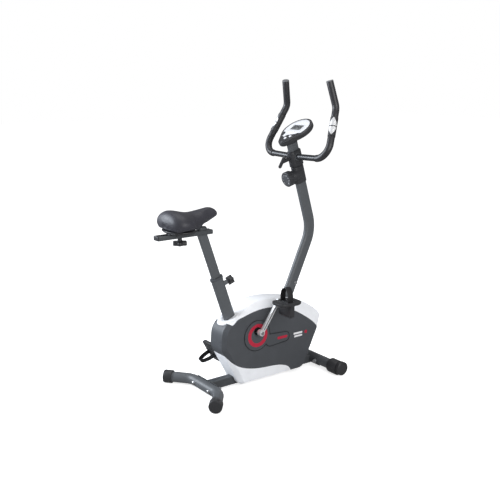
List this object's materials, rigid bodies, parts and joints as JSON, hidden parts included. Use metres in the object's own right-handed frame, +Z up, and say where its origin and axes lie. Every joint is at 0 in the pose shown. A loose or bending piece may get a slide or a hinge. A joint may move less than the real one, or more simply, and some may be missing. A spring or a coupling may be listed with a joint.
{
  "type": "exercise bike",
  "caption": "Upright magnetic exercise bike: closed belt-drive housing, height-adjustable seat post with sliding saddle, U-shaped handlebar with pulse grips, console and tension dial.",
  "frame": {"origin": "on the floor, under the middle of the bike's bounding box", "axes": "+X forward, +Y to the rider's left, +Z up"},
  "size_m": [0.915, 0.4754, 1.4093],
  "materials": {
    "frame_paint": "satin",
    "dark_panel": "fine texture",
    "white_cover": "gloss",
    "black_plastic": "satin",
    "strap_rubber": "matte",
    "saddle_cover": "satin grain",
    "grip_foam": "matte foam",
    "bar_paint": "semi-gloss",
    "crank_metal": "polished",
    "hardware": "zinc plated",
    "pulse_metal": "brushed",
    "cast_metal": "machined",
    "magnet": "plated",
    "console_white": "gloss",
    "button_white": "satin",
    "display": "gloss"
  },
  "bodies": {
    "frame": {"base_beam": "frame_paint", "rear_stabilizer": "frame_paint", "front_stabilizer": "frame_paint", "stabilizer_caps": "black_plastic", "stabilizer_fasteners": "hardware", "seat_tube": "frame_paint", "seat_bush": "dark_panel", "bottom_bracket": "frame_paint", "drive_bearings": "hardware", "front_fork": "frame_paint", "drive_belt": "strap_rubber", "speed_sensor": "black_plastic", "tension_cable": "hardware", "top_cover": "white_cover", "lower_cover": "white_cover", "right_cover": "dark_panel", "left_cover": "dark_panel", "cover_screws": "hardware", "handlebar_post": "frame_paint", "post_bolts": "hardware", "bar_cover": "black_plastic", "dial_housing": "black_plastic", "console_mast": "black_plastic", "console_case": "black_plastic", "console_face": "console_white", "console_lens": "display"},
    "right_wheel": {"right_wheel": "black_plastic"},
    "left_wheel": {"left_wheel": "black_plastic"},
    "crankset": {"crank_axle": "hardware", "drive_pulley": "black_plastic", "right_crank": "crank_metal", "left_crank": "crank_metal", "crank_fasteners": "hardware"},
    "right_pedal": {"right_pedal": "black_plastic", "right_strap": "strap_rubber"},
    "left_pedal": {"left_pedal": "black_plastic", "left_strap": "strap_rubber"},
    "flywheel": {"flywheel": "cast_metal", "flywheel_axle": "hardware"},
    "brake": {"magnet_bracket": "hardware", "brake_magnets": "magnet"},
    "dial": {"dial_knob": "black_plastic"},
    "seat": {"seat_post": "frame_paint", "seat_slide": "frame_paint", "slide_caps": "black_plastic"},
    "seat_pin": {"seat_pin": "black_plastic"},
    "saddle": {"saddle_slider": "black_plastic", "saddle_pan": "black_plastic", "saddle_pad": "saddle_cover"},
    "saddle_knob": {"saddle_knob": "black_plastic"},
    "handlebar": {"handlebar": "bar_paint", "grips": "grip_foam", "bar_plugs": "black_plastic", "pulse_bodies": "black_plastic", "pulse_plates": "pulse_metal"},
    "bar_knob": {"bar_knob": "black_plastic"},
    "button_1": {"button_1": "button_white"},
    "button_2": {"button_2": "button_white"},
    "button_3": {"button_3": "button_white"}
  },
  "joints": [
    {"name": "crank_spin", "type": "hinge", "parent": "frame", "child": "crankset", "pos_m": [0.028, 0, 0.265], "axis": [0, 1, 0], "continuous": true},
    {"name": "right_pedal_spin", "type": "hinge", "parent": "crankset", "child": "right_pedal", "pos_m": [0.12666, -0.16, 0.40589], "axis": [0, 1, 0], "continuous": true},
    {"name": "left_pedal_spin", "type": "hinge", "parent": "crankset", "child": "left_pedal", "pos_m": [-0.07066, 0.16, 0.12411], "axis": [0, 1, 0], "continuous": true},
    {"name": "flywheel_spin", "type": "hinge", "parent": "frame", "child": "flywheel", "pos_m": [0.245, 0, 0.165], "axis": [0, 1, 0], "continuous": true},
    {"name": "dial_turn", "type": "hinge", "parent": "frame", "child": "dial", "pos_m": [0.32057, 0, 0.97142], "axis": [-0.9588, 0, -0.284], "range_deg": [0, 270]},
    {"name": "brake_swing", "type": "hinge", "parent": "frame", "child": "brake", "pos_m": [0.3568, 0, 0.171], "axis": [0, -1, 0], "range_deg": [0, 8]},
    {"name": "seat_height", "type": "slide", "parent": "frame", "child": "seat", "axis": [-0.3289, 0, 0.9444], "range_m": [-0.125, 0.1]},
    {"name": "seat_pin_push", "type": "slide", "parent": "frame", "child": "seat_pin", "axis": [-0.9444, 0, -0.3289], "range_m": [0, 0.009]},
    {"name": "saddle_slide", "type": "slide", "parent": "seat", "child": "saddle", "axis": [1, 0, 0], "range_m": [-0.042, 0.012]},
    {"name": "saddle_knob_turn", "type": "hinge", "parent": "saddle", "child": "saddle_knob", "pos_m": [-0.34, 0, 0.74601], "axis": [0, 0, 1], "range_deg": [0, 270]},
    {"name": "handlebar_tilt", "type": "hinge", "parent": "frame", "child": "handlebar", "pos_m": [0.29529, 0, 1.05675], "axis": [0, 1, 0], "range_deg": [-15, 15]},
    {"name": "bar_knob_turn", "type": "hinge", "parent": "frame", "child": "bar_knob", "pos_m": [0.29529, 0, 1.05675], "axis": [-0.9588, 0, -0.284], "range_deg": [0, 270]},
    {"name": "right_wheel_spin", "type": "hinge", "parent": "frame", "child": "right_wheel", "pos_m": [0.424, -0.21, 0.037], "axis": [0, 1, 0], "continuous": true},
    {"name": "left_wheel_spin", "type": "hinge", "parent": "frame", "child": "left_wheel", "pos_m": [0.424, 0.21, 0.037], "axis": [0, 1, 0], "continuous": true},
    {"name": "button_1_press", "type": "slide", "parent": "frame", "child": "button_1", "axis": [0.5446, 0, -0.8387], "range_m": [0, 0.001], "stiffness_N_per_m": 600, "springref_m": -0.0005},
    {"name": "button_2_press", "type": "slide", "parent": "frame", "child": "button_2", "axis": [0.5446, 0, -0.8387], "range_m": [0, 0.001], "stiffness_N_per_m": 600, "springref_m": -0.0005},
    {"name": "button_3_press", "type": "slide", "parent": "frame", "child": "button_3", "axis": [0.5446, 0, -0.8387], "range_m": [0, 0.001], "stiffness_N_per_m": 600, "springref_m": -0.0005}
  ],
  "couplings": [
    {"joint": "flywheel_spin", "follows": "crank_spin", "ratio": 7},
    {"joint": "brake_swing", "follows": "dial_turn", "ratio": 0.02963}
  ]
}
